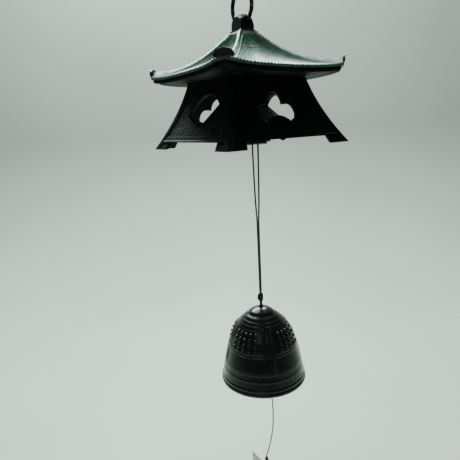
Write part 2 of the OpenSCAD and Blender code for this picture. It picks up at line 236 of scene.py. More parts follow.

# %% [markdown]
# ## Cast iron
# The roof, knob and body are grey iron cast in sand, then baked with a green-black lacquer that
# is thin enough to leave the sand's grain showing. What gives it away is a fine pitted grain
# under a soft, slightly waxy gloss, in two tones of green that drift into each other. The roof is
# greener and glossier, and the knob is darker. The ridge caps belong to the green roof casting,
# but they take the knob's darker colour as painted shade. The body and the filed edges are
# darkest and dullest, so one function makes all four.

# %% Cast iron
def cast_iron(name, dark, pale, roughness, grain_mm, depth_mm, pale_from, shine):
    """Lacquered sand casting: two tones of green, sand grain as bump, uneven gloss."""
    material, tree, shader = new_material(name, {"Metallic": 0.0, "IOR": 1.5, "Coat Weight": shine,
                                                 "Coat Roughness": 0.4,
                                                 "Specular IOR Level": 0.12 + 0.85 * shine})
    place = add(tree, "TexCoord", {}).outputs["Object"]
    pools = add(tree, "TexNoise", {"Vector": place, "Scale": per_metre(9), "Detail": 5.0,
                                   "Roughness": 0.6}).outputs["Fac"]
    grain = add(tree, "TexNoise", {"Vector": place, "Scale": per_metre(grain_mm), "Detail": 3.0,
                                   "Roughness": 0.65}).outputs["Fac"]
    pits = add(tree, "TexVoronoi", {"Vector": place, "Scale": per_metre(grain_mm * 1.6)},
               feature="F1").outputs["Distance"]
    tone = add(tree, "MapRange", {"Value": pools, "From Min": pale_from, "From Max": 0.75}).outputs[0]
    mixed = add(tree, "Mix", {0: tone, 6: colour(dark), 7: colour(pale)}, data_type="RGBA")
    speck = add(tree, "MapRange", {"Value": grain, "From Min": 0.35, "From Max": 0.7, "To Min": 0.72,
                                   "To Max": 1.2}).outputs[0]
    final = add(tree, "Mix", {0: 1.0, 6: mixed.outputs[2], 7: speck}, data_type="RGBA",
                blend_type="MULTIPLY").outputs[2]
    gloss = add(tree, "MapRange", {"Value": pools, "From Min": 0.3, "From Max": 0.7,
                                   "To Min": roughness - 0.07, "To Max": roughness + 0.1}).outputs[0]
    relief = add(tree, "Math", {0: grain, 1: pits}, operation="ADD").outputs[0]
    bump = add(tree, "Bump", {"Height": relief, "Strength": 0.8, "Distance": depth_mm * mm})
    tree.links.new(final, shader.inputs["Base Color"])
    tree.links.new(gloss, shader.inputs["Roughness"])
    tree.links.new(bump.outputs[0], shader.inputs["Normal"])
    return material


roof_iron = cast_iron("green_lacquered_casting", "#113428", "#37705c", 0.36, 0.8, 0.12, 0.36, 0.45)
body_iron = cast_iron("dark_lacquered_casting", "#060c0a", "#14211d", 0.6, 1.3, 0.4, 0.5, 0.0)
smooth_iron = cast_iron("filed_and_lacquered_casting", "#080f0d", "#1a2823", 0.58, 0.7, 0.05, 0.5, 0.0)
# The knob's darker iron. The ridge caps take it too, as painted shade.
knob_iron_and_cap_shade = cast_iron("dark_knob_and_painted_cap_shade_casting", "#07110e", "#182822", 0.42, 0.9, 0.2, 0.45, 0.15)
print("castings", [m.name for m in (roof_iron, body_iron, smooth_iron, knob_iron_and_cap_shade)])

# %% [markdown]
# ## Lacquer, wire, cord, brass and paper
# The bell has a thick black lacquer: a clear coat over an almost black green, smooth enough to
# mirror the light along its rings. The ring and the cross bar are blackened steel, with a dull
# sheen and rubbed spots. The cord is polyester, matt, with a little fibre sheen. The
# eyelet is pressed brass, and the strip is heavy paper with long fibres in it.

# %% Other finishes
def bell_lacquer():
    material, tree, shader = new_material("black_lacquered_iron", {
        "Metallic": 0.0, "IOR": 1.5, "Coat Weight": 0.22, "Coat Roughness": 0.14,
        "Specular IOR Level": 0.3})
    place = add(tree, "TexCoord", {}).outputs["Object"]
    cloudy = add(tree, "TexNoise", {"Vector": place, "Scale": per_metre(7), "Detail": 4.0}).outputs["Fac"]
    skin = add(tree, "TexNoise", {"Vector": place, "Scale": per_metre(1.2), "Detail": 3.0}).outputs["Fac"]
    tone = add(tree, "Mix", {0: cloudy, 6: colour("#030605"), 7: colour("#0b1311")}, data_type="RGBA")
    gloss = add(tree, "MapRange", {"Value": cloudy, "To Min": 0.2, "To Max": 0.36}).outputs[0]
    bump = add(tree, "Bump", {"Height": skin, "Strength": 0.6, "Distance": 0.08 * mm})
    tree.links.new(tone.outputs[2], shader.inputs["Base Color"])
    tree.links.new(gloss, shader.inputs["Roughness"])
    tree.links.new(bump.outputs[0], shader.inputs["Normal"])
    return material


def blackened_steel(name, base, roughness):
    """Drawn steel with a black oxide skin: rubbed spots that are paler and glossier."""
    material, tree, shader = new_material(name, {"Metallic": 0.85})
    place = add(tree, "TexCoord", {}).outputs["Object"]
    rubbed = add(tree, "TexNoise", {"Vector": place, "Scale": per_metre(2.5), "Detail": 5.0}).outputs["Fac"]
    spots = add(tree, "MapRange", {"Value": rubbed, "From Min": 0.52, "From Max": 0.75}).outputs[0]
    tone = add(tree, "Mix", {0: spots, 6: colour(base), 7: colour("#6d7370")}, data_type="RGBA")
    gloss = add(tree, "MapRange", {"Value": rubbed, "To Min": roughness + 0.15,
                                   "To Max": roughness - 0.1}).outputs[0]
    bump = add(tree, "Bump", {"Height": rubbed, "Strength": 0.5, "Distance": 0.05 * mm})
    tree.links.new(tone.outputs[2], shader.inputs["Base Color"])
    tree.links.new(gloss, shader.inputs["Roughness"])
    tree.links.new(bump.outputs[0], shader.inputs["Normal"])
    return material


def polyester_cord(name, dark, pale):
    """Twisted filament: matt, with fibre streaks finer than a ply and a soft sheen at the edge."""
    material, tree, shader = new_material(name, {"IOR": 1.5, "Roughness": 0.75, "Sheen Weight": 0.35,
                                                 "Sheen Roughness": 0.4})
    place = add(tree, "TexCoord", {}).outputs["Object"]
    fibres = add(tree, "TexNoise", {"Vector": place, "Scale": per_metre(0.35), "Detail": 3.0}).outputs["Fac"]
    tone = add(tree, "Mix", {0: fibres, 6: colour(dark), 7: colour(pale)}, data_type="RGBA")
    bump = add(tree, "Bump", {"Height": fibres, "Strength": 0.9, "Distance": 0.08 * mm})
    tree.links.new(tone.outputs[2], shader.inputs["Base Color"])
    tree.links.new(bump.outputs[0], shader.inputs["Normal"])
    return material


def pressed_brass():
    material, tree, shader = new_material("pressed_brass", {"Metallic": 1.0})
    place = add(tree, "TexCoord", {}).outputs["Object"]
    tarnish = add(tree, "TexNoise", {"Vector": place, "Scale": per_metre(1.5), "Detail": 4.0}).outputs["Fac"]
    tone = add(tree, "Mix", {0: tarnish, 6: colour("#c79a45"), 7: colour("#8d6a2e")}, data_type="RGBA")
    gloss = add(tree, "MapRange", {"Value": tarnish, "To Min": 0.22, "To Max": 0.45}).outputs[0]
    tree.links.new(tone.outputs[2], shader.inputs["Base Color"])
    tree.links.new(gloss, shader.inputs["Roughness"])
    return material


def fibre_paper():
    """Heavy handmade paper: warm white, long pale and tan fibres, a soft uneven surface."""
    material, tree, shader = new_material("handmade_paper", {"IOR": 1.45, "Roughness": 0.85})
    place = add(tree, "TexCoord", {}).outputs["Object"]
    turned = add(tree, "Mapping", {"Vector": place, "Rotation": (0.5, 0.2, 0.3), "Scale": (1, 1, 0.18)})
    fibre = add(tree, "TexNoise", {"Vector": turned.outputs[0], "Scale": per_metre(1.1), "Detail": 5.0,
                                   "Distortion": 1.2}).outputs["Fac"]
    strands = add(tree, "MapRange", {"Value": fibre, "From Min": 0.56, "From Max": 0.66}).outputs[0]
    tone = add(tree, "Mix", {0: strands, 6: colour("#efe9d9"), 7: colour("#d2c29c")}, data_type="RGBA")
    bump = add(tree, "Bump", {"Height": fibre, "Strength": 0.5, "Distance": 0.1 * mm})
    tree.links.new(tone.outputs[2], shader.inputs["Base Color"])
    tree.links.new(bump.outputs[0], shader.inputs["Normal"])
    return material


lacquer = bell_lacquer()
wire_steel = blackened_steel("blackened_wire", "#20242a", 0.4)
dull_steel = blackened_steel("oxidised_steel", "#2b2f2e", 0.5)
black_cord = polyester_cord("black_polyester_cord", "#0d0e10", "#2c2f33")
thin_cord = polyester_cord("charcoal_polyester_cord", "#1a1b1c", "#3c3e40")
brass = pressed_brass()
paper = fibre_paper()
print("finishes", len(bpy.data.materials))

# %% [markdown]
# ## Finishing a piece
# Each shape is built in a bmesh, which is a mesh that Blender's modelling operators work on. When
# it is done it becomes an object at the origin, gets its finish, rides on the body of the frame
# that it moves with, and stands for the plain solid that it replaces.

# %% Finishing a piece
def finish(bm, name, body, material, slot, nodes=(), sharp=35):
    mesh = bpy.data.meshes.new(name)
    bm.to_mesh(mesh)
    bm.free()
    mesh.shade_smooth()
    mesh.set_sharp_from_angle(angle=math.radians(sharp))
    mesh.materials.append(material)
    piece = bpy.data.objects.new(name, mesh)
    bpy.context.collection.objects.link(piece)
    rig.ride(piece, body)
    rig.slot(piece, slot)
    if nodes:
        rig.replaces(piece, *nodes)
    print(name, len(mesh.polygons), "faces")
    return piece


def carry(node, material):
    """A node of the frame whose shape is right keeps its mesh and only gets its finish."""
    mesh = frame["nodes"][node].data
    mesh.materials.clear()
    mesh.materials.append(material)
    print(node, "keeps its shape, in", material.name)


# %% [markdown]
# ## Cords
# A cord is three plies laid round each other. Each ply is a thin tube whose line winds round the
# cord's own line, about one turn in 3 to 5 mm. The line is a short list of given points, the
# same as the solid's, with a smooth curve drawn through them. The doubled cord goes up behind the
# cross bar, over it and down in front, so it is one long piece with a loop at the top.

# %% Cord shape
ply_out, ply_r = 0.27, 0.235  # how far out a ply lies and its radius, as shares of the diameter


def smooth_line(points, step):
    """Points about a step apart on a smooth curve through the given ones."""
    line = []
    for i in range(len(points) - 1):
        before, a, b, after = (points[max(i - 1, 0)], points[i], points[i + 1],
                               points[min(i + 2, len(points) - 1)])
        pieces = max(1, round((b - a).length / step))
        for k in range(pieces):
            t = k / pieces
            line.append(0.5 * (2 * a + (b - before) * t + (2 * before - 5 * a + 4 * b - after) * t * t
                               + (3 * a - before - 3 * b + after) * t ** 3))
    return line + [points[-1].copy()]


def tube(bm, line, radius, sides=6, closed=False):
    """A round tube along a line: a ring of points is carried along and bridged to the next."""
    rings = []
    normal = Vector((1, 0.01, 0.02))
    count = len(line)
    for i, p in enumerate(line):
        if closed:
            along = (line[(i + 1) % count] - line[i - 1]).normalized()
        else:
            along = (line[min(i + 1, count - 1)] - line[max(i - 1, 0)]).normalized()
        normal = (normal - along * normal.dot(along)).normalized()
        across = along.cross(normal)
        rings.append([bm.verts.new(p + radius * (math.cos(a) * normal + math.sin(a) * across))
                      for a in [math.tau * k / sides for k in range(sides)]])
    pairs = list(zip(rings, rings[1:] + (rings[:1] if closed else [])))
    for low, high in pairs:
        for k in range(sides):
            bm.faces.new((low[k], low[(k + 1) % sides], high[(k + 1) % sides], high[k]))
    if not closed:
        bm.faces.new(rings[0][::-1])
        bm.faces.new(rings[-1])


def length_of(line):
    return sum((b - a).length for a, b in zip(line, line[1:]))


def laid_cord(points, diameter, lay, step):
    """Three plies wound round a line, one turn in each length of lay."""
    bm = bmesh.new()
    line = smooth_line(points, step)
    last = len(line) - 1
    run = length_of(line)
    turns = run / lay
    for ply in range(3):
        strand, gone = [], 0.0
        normal = Vector((1, 0.01, 0.02))
        for i, p in enumerate(line):
            along = (line[min(i + 1, last)] - line[max(i - 1, 0)]).normalized()
            normal = (normal - along * normal.dot(along)).normalized()
            across = along.cross(normal)
            turn = math.tau * (gone / run * turns + ply / 3)
            strand.append(p + ply_out * diameter * (math.cos(turn) * normal + math.sin(turn) * across))
            if i < last:
                gone += (line[i + 1] - p).length
        tube(bm, strand, ply_r * diameter)
    return bm, line


cord_x = 6
cord_width = 1.3
hanging_points = [
    (6, 0.6, -193.6), (6, 0.7, -188), (6, 0.7, -180), (6, 0.7, -172), (6, 0.7, -164), (6, 0.7, -156),
    (6, 0.8, -148), (6, 0.9, -142), (6, 1.3, -136), (6, 1.8, -130), (6, 2.2, -122), (6, 2.5, -114),
    (6, 2.7, -106), (6, 2.9, -98), (6, 3, -92), (6, 3, -88), (6, 2.5, -86), (6, 1.4, -85.5),
    (6, 0, -85.4), (6, -1.4, -85.5), (6, -2.5, -86), (6, -3, -88), (6, -3, -92), (6, -2.9, -98),
    (6, -2.7, -106), (6, -2.5, -114), (6, -2.2, -122), (6, -1.8, -130), (6, -1.3, -136),
    (6, -0.9, -142), (6, -0.8, -148), (6, -0.7, -156), (6, -0.7, -164), (6, -0.7, -172),
    (6, -0.7, -180), (6, -0.7, -188), (6, -0.6, -193.6)]
tail_points = [
    (6, 0, -252.2), (6.1, 0, -255), (6.8, -0.4, -259), (8, -1.2, -263), (9.4, -2, -268),
    (10.4, -2.7, -274), (11, -3, -281), (11.2, -3.2, -289), (11, -3.1, -297), (10.4, -2.7, -305),
    (9.4, -2.1, -312), (8.2, -1.4, -318), (7, -0.6, -323), (6.2, -0.1, -326), (6, 0, -328)]

# %% [markdown]
# ## Knots
# The knots are overhand knots pulled tight. The line of such a knot is a trefoil: it goes three
# times round a ring while it weaves in and out. It takes the width of the solid that it replaces,
# and a small round core fills its middle. A knot may be drawn out a little along its cord.

# %% Knots
def knot(name, node, body, material, slot, cord_mm, stretch=1.0):
    low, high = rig.box(node)
    middle, size = (low + high) / 2, (high - low) / 2
    r = cord_mm * mm / 2
    wide = (max(size.x, size.y) - r) / 3
    tall = (size.z - r * 0.8) * stretch
    points = []
    for i in range(48):
        t = math.tau * i / 48
        points.append(middle + Vector(((math.sin(t) + 2 * math.sin(2 * t)) * wide,
                                       (math.cos(t) - 2 * math.cos(2 * t)) * wide,
                                       -math.sin(3 * t) * tall)))
    bm = bmesh.new()
    tube(bm, points, r, 12, closed=True)
    bmesh.ops.recalc_face_normals(bm, faces=bm.faces)
    core = bmesh.ops.create_uvsphere(bm, u_segments=16, v_segments=10, radius=1)["verts"]
    bmesh.ops.scale(bm, vec=(wide * 2.1, wide * 2.1, tall * 0.75), verts=core)
    bmesh.ops.translate(bm, vec=middle, verts=core)
    return finish(bm, name, body, material, slot, (node,))


upper_knot = knot("cord_knot", "upper_knot", "sling", black_cord, "cord", 1.6, 1.4)
knot("bell_knot", "inner_knot", "bell_hanger", black_cord, "cord", 1.6)
tail_knot = knot("strip_knot", "tail_knot", "tail", thin_cord, "tail_cord", 1.0)
knot("clapper_stopper_knot", "clapper_knot", "clapper", black_cord, "cord", 1.2)

# %% Hanging cord
bm, line = laid_cord([Vector(p) * mm for p in hanging_points], cord_width * mm, 4 * mm, 0.45 * mm)
hanging_cord = finish(bm, "doubled_cord", "sling", black_cord, "cord", ("hanging_cord",), 80)
print("doubled cord is", round(length_of(line) / mm, 1), "mm long")
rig.cord(hanging_cord, exit=line[0], length=length_of(line), diameter=cord_width * mm,
        far_end="knot", stiffness="limp", lay="hanging", path=line, with_pieces=[upper_knot])

# %% Neck, clapper and tail cords
neck_low, neck_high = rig.box("bell_neck_cord")
neck_line = [Vector((cord_x * mm, 0, neck_low.z + (neck_high.z - neck_low.z) * k / 6)) for k in range(7)]
bm, line = laid_cord(neck_line, 2.2 * mm, 5 * mm, 0.4 * mm)
finish(bm, "bell_neck", "bell_hanger", black_cord, "cord", ("bell_neck_cord",), 80)

clapper_low, clapper_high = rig.box("clapper_cord")
clapper_line = [Vector((cord_x * mm, 0, clapper_high.z + (clapper_low.z - clapper_high.z) * k / 15))
                for k in range(16)]
bm, line = laid_cord(clapper_line, 1.2 * mm, 4 * mm, 0.5 * mm)
clapper_cord = finish(bm, "clapper_line", "clapper_line", black_cord, "cord", ("clapper_cord",), 80)
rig.cord(clapper_cord, exit=line[0], length=length_of(line), diameter=1.2 * mm, far_end="object",
        stiffness="limp", lay="hanging", path=line)

bm, line = laid_cord([Vector(p) * mm for p in tail_points], 1.0 * mm, 3 * mm, 0.5 * mm)
tail_cord = finish(bm, "tail_line", "tail", thin_cord, "tail_cord", ("tail_cord",), 80)
print("tail cord is", round(length_of(line) / mm, 1), "mm long")
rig.cord(tail_cord, exit=line[0], length=length_of(line), diameter=1.0 * mm, far_end="knot",
        stiffness="limp", lay="hanging", path=line, with_pieces=[tail_knot])

# %% [markdown]
# ## Wire ring
# The ring is a piece of round steel wire bent until its ends meet. A circle is spun round the
# middle of the ring to make it. The butt joint is a narrow groove, made by shrinking one of the
# circles a little towards the wire's middle.

# %% Wire ring
ring_low, ring_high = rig.box("hanging_ring")
wire = (ring_high.x - ring_low.x) / 2
ring_middle = (ring_low + ring_high) / 2
ring_r = (ring_high.z - ring_low.z) / 2 - wire
butt_turn, butt_share = -60, 0.86
bm = bmesh.new()
bmesh.ops.create_circle(bm, segments=24, radius=wire)
bmesh.ops.translate(bm, vec=(0, ring_r, 0), verts=bm.verts)
bmesh.ops.spin(bm, geom=bm.edges[:], cent=(0, 0, 0), axis=(1, 0, 0), angle=math.tau, steps=120,
               use_merge=True)
bmesh.ops.remove_doubles(bm, verts=bm.verts, dist=1e-7)
for v in bm.verts:
    turn = math.degrees(math.atan2(v.co.z, v.co.y))
    if abs(turn - butt_turn) < 2:
        core = Vector((0, math.cos(math.radians(turn)), math.sin(math.radians(turn)))) * ring_r
        v.co = core + (v.co - core) * butt_share
bmesh.ops.translate(bm, vec=ring_middle, verts=bm.verts)
bmesh.ops.recalc_face_normals(bm, faces=bm.faces)
finish(bm, "wire_ring", "ring", wire_steel, "ring_wire", ("hanging_ring",))

# %% [markdown]
# ## Roof
# The roof is a hollow square pyramid with sagging sides, cast in one piece. Each side is a fan of
# narrow tile ribs that run from the peak to the eaves, with dots cast between them, and a beaded
# ridge covers each hip. A grid is the easiest start: it is bent so that its columns follow the
# ribs and its rows go down over the tiles, round the edge and back up underneath. Three turned
# copies close it round the shank's hole.

# %% Roof shape
half, top_half, hole_half = 45.7, 5.85, 1.8
peak_z, eave_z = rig.box("roof")[1].z / mm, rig.box("roof")[1].z / mm - 25.2
slope_height, corner_lift, cap_reach = 24.2, 4.0, 84.19


def run_of(s):
    return min(max((s - top_half) / (half - top_half), 0), 1)


def steepness(u):
    return slope_height / (half - top_half) * (0.2 + 0.8 * 2.3 * (1 - u) ** 1.3)


def slope_z(s, t):
    """Height of the roof at the level line s and the share t of the way from its middle to a hip."""
    u = run_of(s)
    fall = 0.2 * (1 - u) + 0.8 * (1 - u) ** 2.3
    return eave_z + slope_height * fall + corner_lift * (s / half) ** 3 * (0.35 * t * t + 0.65 * t ** 6)


def under_z(s, t):
    u = run_of(s)
    return slope_z(s, t) - (2 - 0.8 * u) * math.sqrt(1 + steepness(u) ** 2)


def level_point(along, s, z, reach):
    """The place this far along the level line s, drawn in where a corner is cut off."""
    over = max(1, (abs(along) + s) / reach)
    return Vector((along / over, -s / over, z)) * mm


def four_sides(columns, rows, place):
    """A grid bent into one side, whose last row meets its first, and three copies turned about Z."""
    bm = bmesh.new()
    bmesh.ops.create_grid(bm, x_segments=columns, y_segments=rows, size=0.5)
    for v in bm.verts:
        v.co = place(round((v.co.x + 0.5) * columns), round((v.co.y + 0.5) * rows))
    bmesh.ops.spin(bm, geom=bm.verts[:] + bm.edges[:] + bm.faces[:], cent=(0, 0, 0), axis=(0, 0, 1),
                   angle=math.tau * 3 / 4, steps=3, use_duplicate=True)
    bmesh.ops.remove_doubles(bm, verts=bm.verts, dist=2e-6)
    bmesh.ops.dissolve_degenerate(bm, dist=1e-6, edges=bm.edges)
    bmesh.ops.recalc_face_normals(bm, faces=bm.faces)
    return bm


# %% Roof tiles
ribs, rib_columns, hip_columns = 38, 4, 6
over_rows, under_rows = 120, 8
roof_columns = ribs * rib_columns + 2 * hip_columns
roof_rows = over_rows + under_rows + 4
bead_pitch, rib_height, dot_height, scallop = 1.8, 0.75, 0.45, 0.5
dot_rows = 7


def roof_place(column, row):
    if row == 0 or row == roof_rows:
        s, z, top = hole_half, peak_z, False
    elif row == 1:
        s, z, top = top_half, peak_z, False
    elif row <= over_rows + 2:
        u = (row - 2) / over_rows
        s, z, top = top_half + u * (half - top_half), None, True
    elif row <= over_rows + under_rows + 3:
        u = 1 - (row - over_rows - 3) / under_rows
        s, z, top = top_half + u * (half - top_half), None, False
        if u < 0.01:
            s, z = hole_half, under_z(top_half, 0)
    hip = (1.6 + 1.6 * run_of(s)) * (1 if s > 2 else 0.3)
    field = s - hip * math.sqrt(2)
    from_middle = column - roof_columns / 2
    side = 1 if from_middle > 0 else -1
    edge_column = roof_columns / 2 - hip_columns
    if abs(from_middle) <= edge_column:
        along = field * from_middle / edge_column
    else:
        along = side * (field + (s - field) * (abs(from_middle) - edge_column) / hip_columns)
    t = abs(along) / s
    if z is None:
        z = slope_z(s, t) if top else under_z(s, t)
    if top:
        u = run_of(s)
        if abs(from_middle) <= edge_column:
            phase = (column - hip_columns) % rib_columns
            rib = (1, 0.45, 0, 0.45)[phase]
            z += rib_height * rib * min(1, u * 8)
            if phase == 2 and 0.12 < u < 0.97 and row % dot_rows == 3:
                z += dot_height * min(1, 4 * u)
            if row >= over_rows + 1:
                s += scallop * rib
        distance = (s - abs(along)) / math.sqrt(2)
        if distance < hip:
            down = u * (half - top_half) * math.sqrt(2)
            bead = abs(math.sin(math.pi * down / bead_pitch)) ** 0.7
            share = 1 - (distance / hip) ** 2
            z += (0.9 + 1.5 * u) * share * (0.6 + 0.4 * bead)
    return level_point(along, s, z, cap_reach)


bm = four_sides(roof_columns, roof_rows, roof_place)
finish(bm, "tiled_roof", "lantern", roof_iron, "cast_iron_green", ("roof",), 50)

# %% [markdown]
# ## Ridge end caps
# Where a hip ridge ends, a round-topped tile closes it. It is half a disc on a short straight
# part, with a sunk face inside a raised rim. One is shaped from a circle, cut off flat below,
# thickened, and inset, and its copies are turned to the four corners.

# %% Ridge end caps
corner_z = eave_z + corner_lift
cap_r, cap_cut, cap_thick, cap_rim, cap_sunk = 4.9, 1.9, 1.5, 1.0, 0.6
cap_out = cap_reach / math.sqrt(2) - 0.8
bm = bmesh.new()
bmesh.ops.create_circle(bm, cap_ends=True, segments=40, radius=cap_r * mm)
bmesh.ops.rotate(bm, cent=(0, 0, 0), matrix=Matrix.Rotation(math.pi / 2, 3, "X"), verts=bm.verts)
bmesh.ops.bisect_plane(bm, geom=bm.verts[:] + bm.edges[:] + bm.faces[:], plane_co=(0, 0, -cap_cut * mm),
                       plane_no=(0, 0, -1), clear_outer=True)
bmesh.ops.recalc_face_normals(bm, faces=bm.faces)
for f in bm.faces:
    if f.normal.y > 0:
        f.normal_flip()
front = bm.faces[:]
back = bmesh.ops.extrude_face_region(bm, geom=front)
new_front = [g for g in back["geom"] if isinstance(g, bmesh.types.BMFace)]
bmesh.ops.translate(bm, vec=(0, -cap_thick * mm, 0),
                    verts=[g for g in back["geom"] if isinstance(g, bmesh.types.BMVert)])
bmesh.ops.recalc_face_normals(bm, faces=bm.faces)
bmesh.ops.inset_region(bm, faces=new_front, thickness=cap_rim * mm, depth=-cap_sunk * mm)
bmesh.ops.bevel(bm, geom=bm.edges[:], offset=0.18 * mm, affect="EDGES", segments=2, profile=0.5,
                material=-1)
bmesh.ops.scale(bm, vec=(1.1, 1, 0.68), verts=bm.verts)
bmesh.ops.translate(bm, vec=(0, -cap_out * mm, (corner_z + 0.1) * mm), verts=bm.verts)
bmesh.ops.rotate(bm, cent=(0, 0, 0), matrix=Matrix.Rotation(math.pi / 4, 3, "Z"), verts=bm.verts)
bmesh.ops.spin(bm, geom=bm.verts[:] + bm.edges[:] + bm.faces[:], cent=(0, 0, 0), axis=(0, 0, 1),
               angle=math.tau * 3 / 4, steps=3, use_duplicate=True)
# The ridge caps belong to the green roof casting. Their darker colour is painted shade.
finish(bm, "ridge_end_caps", "lantern", knob_iron_and_cap_shade, "cast_iron_green")

# %% [markdown]
# ## Eave frame
# A second casting fills the underside: a plate whose edge carries a row of rafter ends, and whose
# soffit falls in one smooth curve to the body. It is bent from a grid in the same way as the roof,
# and the rafter ends are small bevelled blocks repeated along the edge.

# %% Eave frame
frame_half, seat_half, open_half, band = 44.5, 26.5, 21.1, 2.3
frame_reach = cap_reach - 3.2
body_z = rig.box("lantern_body")[1].z / mm
soffit_rows, frame_columns = 24, 40


def band_z(t):
    return under_z(half, t) - 0.02 - band


def soffit_z(s, t):
    k = min(max((frame_half - s) / (frame_half - seat_half), 0), 1)
    k = k * k * (3 - 2 * k)
    return band_z(t) * (1 - k) + body_z * k


def frame_place(column, row):
    along = 2 * column / frame_columns - 1
    if row <= 1 or row >= soffit_rows + 4:
        s = open_half
    elif row == 2:
        s = seat_half
    elif row == 3:
        s = frame_half
    else:
        s = frame_half + (seat_half - frame_half) * (row - 4) / (soffit_rows - 1)
    t = abs(along)
    if row in (1, 2, 3):
        k = min(max((frame_half - s) / (frame_half - seat_half), 0), 1)
        z = min(under_z(s, t) - 0.02, soffit_z(s, t) + 2 + band * (1 - k))
    else:
        z = soffit_z(s, t)
    return level_point(along * s, s, z, frame_reach)


bm = four_sides(frame_columns, soffit_rows + 5, frame_place)
finish(bm, "eave_plate", "lantern", smooth_iron, "cast_iron_green", ("eave_frame",))

# %% Rafter ends
rafter_pitch, rafters = 1.95, 42
rafter_size = (1.15 * mm, 1.3 * mm, 1.9 * mm)
bm = bmesh.new()
for i in range(rafters):
    along = (i - (rafters - 1) / 2) * rafter_pitch
    t = abs(along) / frame_half
    block = bmesh.ops.create_cube(bm, size=1)["verts"]
    bmesh.ops.scale(bm, vec=rafter_size, verts=block)
    bmesh.ops.translate(bm, vec=level_point(along, frame_half, band_z(t) + band - 1.05, frame_reach),
                        verts=block)
bmesh.ops.bevel(bm, geom=bm.edges[:], offset=0.2 * mm, affect="EDGES", segments=1, profile=0.5,
                material=-1)
bmesh.ops.spin(bm, geom=bm.verts[:] + bm.edges[:] + bm.faces[:], cent=(0, 0, 0), axis=(0, 0, 1),
               angle=math.tau * 3 / 4, steps=3, use_duplicate=True)
finish(bm, "rafter_ends", "lantern", smooth_iron, "cast_iron_green")

# %% [markdown]
# ## Lantern body
# The body is a four-sided shell whose walls flare towards the feet, with cloud-shaped windows in
# front and behind and fan-shaped ones at the sides. Its shell is the frame's own. The raised work
# is added to it: posts at the corners, rails, a rim round every window and a small ring. These are
# drawn flat, as they would be on a carved pattern board, and then laid on the curved wall.

# %% Wall shape
body_half, foot_half, body_height, foot_height = 25.5, 43.8, 39.4, 4.6
foot_z = body_z - body_height
rail_z = foot_z + foot_height
window_share = 0.482
window_z = body_z - window_share * body_height


def wall_out(z):
    """How far the wall stands from the middle at this height."""
    u = min(max((body_z - z) / body_height, 0), 1)
    return body_half + (foot_half - body_half) * (0.6 * u + 0.4 * u * u)


def on_wall(along, raised, z, wall):
    """The place on the front or back wall ("y") or a side wall ("x"), on the + or - side."""
    name, sign = wall
    out = sign * (wall_out(z) + raised)
    return (Vector((along, out, z)) if name == "y" else Vector((out, along, z))) * mm


walls = [("y", -1), ("y", 1), ("x", -1), ("x", 1)]

# %% Corner posts
post_width, post_raised = 4.8, 0.75
post_profile = [-0.5, 0.35, 0.75, 0.75, 0.45, 0.75, 0.75, 0.5, 0.8, 0.8]


def post_place(column, row):
    z = body_z - 0.1 - (body_height - 0.2) * min(max((row - 1) / 24, 0), 1)
    side = 1 if column > 10 else -1
    step = min(abs(column - 10), 9)
    raised = post_profile[9 - step] if 0 < row < 26 else -0.8
    inward = post_width * step / 9
    out = wall_out(z)
    edge = out + (raised if step == 0 else post_raised) - inward
    if side < 0:
        return Vector((edge, -(out + raised), z)) * mm
    return Vector((out + raised, -edge, z)) * mm


bm = four_sides(20, 26, post_place)
finish(bm, "corner_posts", "lantern", smooth_iron, "cast_iron_dark", (), 25)

# %% Rails
def rail(bm, top, low, raises):
    """A moulding along all four walls between two heights, with this section from top to bottom."""
    rows = len(raises) - 1

    def place(column, row):
        z = top + (low - top) * min(max((row - 1) / (rows - 2), 0), 1)
        out = wall_out(z)
        return Vector(((column / 6 - 1) * (out - 3.4), -(out + raises[row]), z)) * mm

    made = bmesh.ops.create_grid(bm, x_segments=12, y_segments=rows, size=0.5)["verts"]
    for v in made:
        v.co = place(round((v.co.x + 0.5) * 12), round((v.co.y + 0.5) * rows))


bm = bmesh.new()
rail(bm, rail_z + 3.4, rail_z - 0.1, [-0.6, 0.45, 0.6, 0.6, 0.5, 0.35, 0.85, 1.0, 0.85, -0.6])
rail(bm, body_z - 0.2, body_z - 3.4, [-0.6, 0.6, 0.6, 0.45, 0.3, -0.6])
bmesh.ops.recalc_face_normals(bm, faces=bm.faces)
bmesh.ops.spin(bm, geom=bm.verts[:] + bm.edges[:] + bm.faces[:], cent=(0, 0, 0), axis=(0, 0, 1),
               angle=math.tau * 3 / 4, steps=3, use_duplicate=True)
for f in bm.faces:
    middle = f.calc_center_median()
    if f.normal.dot(Vector((middle.x, middle.y, 0))) < 0:
        f.normal_flip()
finish(bm, "body_rails", "lantern", smooth_iron, "cast_iron_dark", (), 30)

# %% [markdown]
# ## Window rims
# A raised bead runs round the edge of every window. The outline of the cloud is made of arcs, and
# the fan is a piece of a ring, so both are worked out point by point along their curves. A round
# bead is then run along the outline on the outside of each wall. The two fans open to opposite
# sides, so the outline of one is the mirror image of the other.

# %% Window rims
def arc(middle, radius, start, end, steps):
    return [(middle[0] + radius * math.cos(math.radians(start + (end - start) * k / steps)),
             middle[1] + radius * math.sin(math.radians(start + (end - start) * k / steps)))
            for k in range(steps + 1)]


def cloud_outline():
    """Right half of the cloud, from the top round to the arch below, and its mirror image."""
    top = arc((0, 4.6), 6.2, 90, -8, 12)
    lobe = arc((9, -1.4), 5.2, 78, -60, 14)
    foot = [(10.5, -7.6), (8, -7.6)]
    arch = arc((0, -13.4), 9.9, 36, 90, 6)
    right = top + lobe + foot + arch
    return right + [(-x, y) for x, y in right[-2:0:-1]]


def fan_outline():
    return arc((0, 0), 19.6, 20, 140, 24) + arc((0, 0), 3.5, 140, 20, 8)


def rim(bm, outline, shift, wall, raised, radius):
    points = [on_wall(x + shift[0], raised, z + shift[1], wall) for x, z in outline]
    tube(bm, smooth_line(points + points[:1], 0.9 * mm)[:-1], radius * mm, 8, closed=True)


